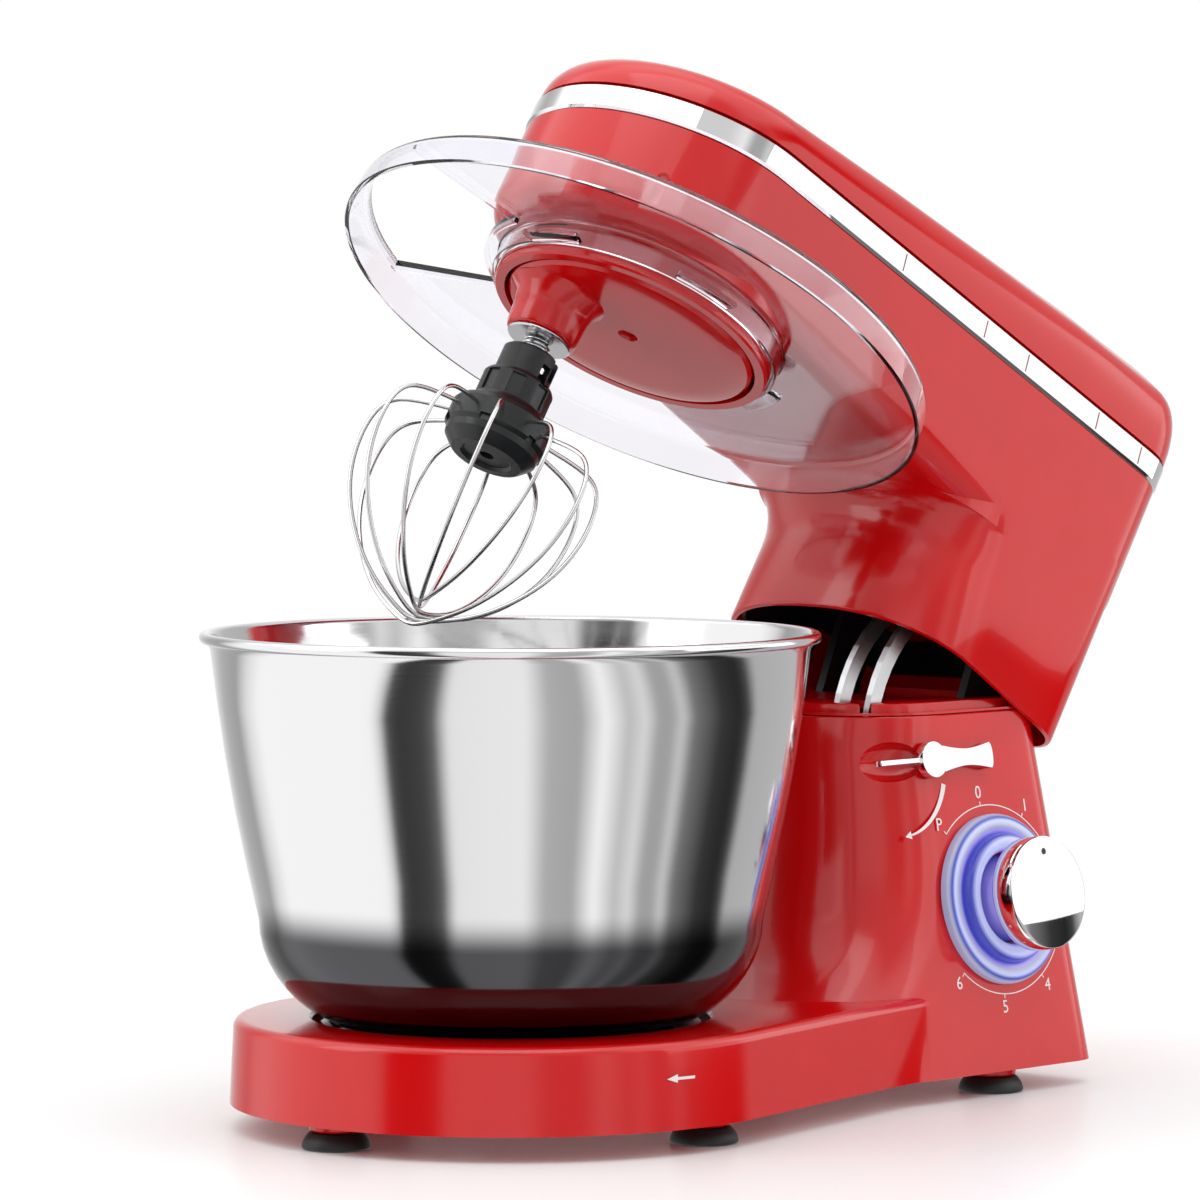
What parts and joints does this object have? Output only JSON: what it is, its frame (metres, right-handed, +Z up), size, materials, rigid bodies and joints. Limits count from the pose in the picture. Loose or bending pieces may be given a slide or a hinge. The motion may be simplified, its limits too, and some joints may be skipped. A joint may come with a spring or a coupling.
{
  "type": "stand mixer",
  "caption": "Tilt-head stand mixer with its head raised: round base with a lift-out steel bowl, column with a knob and release lever, clear splash guard, and a wire whisk on a planetary drive.",
  "frame": {"origin": "middle of the whole object's box, on the surface it stands on", "axes": "+Z up; the bowl is at -Y and the column at +Y; the speed knob and release lever face +X"},
  "size_m": [0.251, 0.4792, 0.4256],
  "materials": {
    "red_plastic": "high gloss red",
    "black_plastic": "satin black",
    "rubber": "matt black",
    "polished_steel": "mirror polished stainless steel",
    "wire_steel": "bright drawn wire",
    "machined_steel": "turned",
    "plated_steel": "zinc plated",
    "chrome_trim": "mirror chrome",
    "clear_plastic": "clear, faint violet tint",
    "lit_plastic": "translucent, lit blue",
    "cast_metal": "die cast",
    "nylon": "moulded nylon",
    "winding": "enamelled copper wire on a steel core",
    "board": "circuit board"
  },
  "bodies": {
    "base": {"base_shell": "red_plastic", "seat_ring": "plated_steel", "base_plate": "red_plastic", "foot_front": "rubber", "foot_right": "rubber", "foot_rear_right": "rubber", "foot_left": "rubber", "foot_rear_left": "rubber", "column_cap": "red_plastic", "plate_screw_1": "plated_steel", "plate_screw_2": "plated_steel", "plate_screw_3": "plated_steel", "plate_screw_4": "plated_steel", "hinge_bracket": "plated_steel", "hinge_pin": "machined_steel", "cord_gland": "black_plastic", "light_ring": "lit_plastic", "speed_switch": "black_plastic", "control_board": "board", "lever_spring": "plated_steel"},
    "head": {"head_bottom_shell": "red_plastic", "trim_band": "chrome_trim", "head_top_shell": "red_plastic", "neck_liner": "black_plastic", "head_chassis": "cast_metal", "latch_arm_inner": "plated_steel", "latch_arm_outer": "plated_steel", "latch_pin": "black_plastic", "ring_gear": "nylon", "main_bearing": "machined_steel", "reduction_axle": "machined_steel", "gearbox_cover": "cast_metal", "motor_body": "plated_steel"},
    "planetary": {"planetary_disc": "red_plastic", "beater_bearing": "cast_metal", "planetary_shaft": "machined_steel", "final_gear": "nylon"},
    "beater": {"planet_pinion": "plated_steel", "beater_shaft": "machined_steel", "cross_pin": "machined_steel", "shaft_washer": "machined_steel", "shaft_spring": "machined_steel"},
    "whisk": {"whisk_hub": "black_plastic", "whisk_wire_1": "wire_steel", "whisk_wire_2": "wire_steel", "whisk_wire_3": "wire_steel", "whisk_wire_4": "wire_steel", "whisk_wire_5": "wire_steel", "whisk_wire_6": "wire_steel"},
    "reduction": {"reduction_gear": "nylon"},
    "rotor": {"motor_rotor": "winding"},
    "guard": {"splash_guard": "clear_plastic"},
    "knob": {"speed_knob": "chrome_trim", "knob_shaft": "plated_steel"},
    "lever": {"lever_handle": "chrome_trim", "lever_shaft": "plated_steel", "lock_cam": "plated_steel"},
    "bowl_ring": {"bowl_gasket": "rubber"},
    "bowl": {"bowl": "polished_steel", "bowl_foot": "polished_steel"}
  },
  "joints": [
    {"name": "head_tilt", "type": "hinge", "parent": "base", "child": "head", "pos_m": [0, 0.11433, 0.143], "axis": [-1, 0, 0], "range_deg": [-32.7, 0]},
    {"name": "planetary_spin", "type": "hinge", "parent": "head", "child": "planetary", "pos_m": [0, -0.04842, 0.31522], "axis": [0, 0.5402, 0.8415], "continuous": true},
    {"name": "beater_spin", "type": "hinge", "parent": "planetary", "child": "beater", "pos_m": [-0.01498, -0.07317, 0.33111], "axis": [0, 0.5402, 0.8415], "continuous": true},
    {"name": "whisk_push", "type": "slide", "parent": "beater", "child": "whisk", "axis": [0, 0.5402, 0.8415], "range_m": [0, 0.005], "stiffness_N_per_m": 800, "springref_m": -0.005, "deforming": ["shaft_spring"]},
    {"name": "reduction_spin", "type": "hinge", "parent": "head", "child": "reduction", "pos_m": [0, 0.01323, 0.31129], "axis": [0, 0.5402, 0.8415], "continuous": true},
    {"name": "rotor_spin", "type": "hinge", "parent": "head", "child": "rotor", "pos_m": [0, 0.05503, 0.33199], "axis": [0, 0.5402, 0.8415], "continuous": true},
    {"name": "guard_release", "type": "slide", "parent": "head", "child": "guard", "axis": [0, -0.5402, -0.8415], "range_m": [0, 0.025]},
    {"name": "speed_knob_turn", "type": "hinge", "parent": "base", "child": "knob", "pos_m": [0.07164, 0.09833, 0.08], "axis": [-0.9848, 0, -0.1736], "range_deg": [-50, 215]},
    {"name": "release_lever", "type": "hinge", "parent": "base", "child": "lever", "pos_m": [0.06123, 0.06533, 0.139], "axis": [-0.9848, 0, -0.1736], "range_deg": [0, 30], "stiffness_Nm_per_rad": 0.3, "springref_deg": -5.73, "deforming": ["lever_spring"]},
    {"name": "bowl_twist", "type": "hinge", "parent": "base", "child": "bowl_ring", "pos_m": [0, -0.11567, 0.035], "axis": [0, 0, 1], "range_deg": [0, 30]},
    {"name": "bowl_lift", "type": "slide", "parent": "bowl_ring", "child": "bowl", "axis": [0, 0, 1], "range_m": [0, 0.018]}
  ],
  "couplings": [
    {"joint": "beater_spin", "follows": "planetary_spin", "ratio": -3.75},
    {"joint": "reduction_spin", "follows": "planetary_spin", "ratio": -5},
    {"joint": "rotor_spin", "follows": "planetary_spin", "ratio": 15}
  ]
}
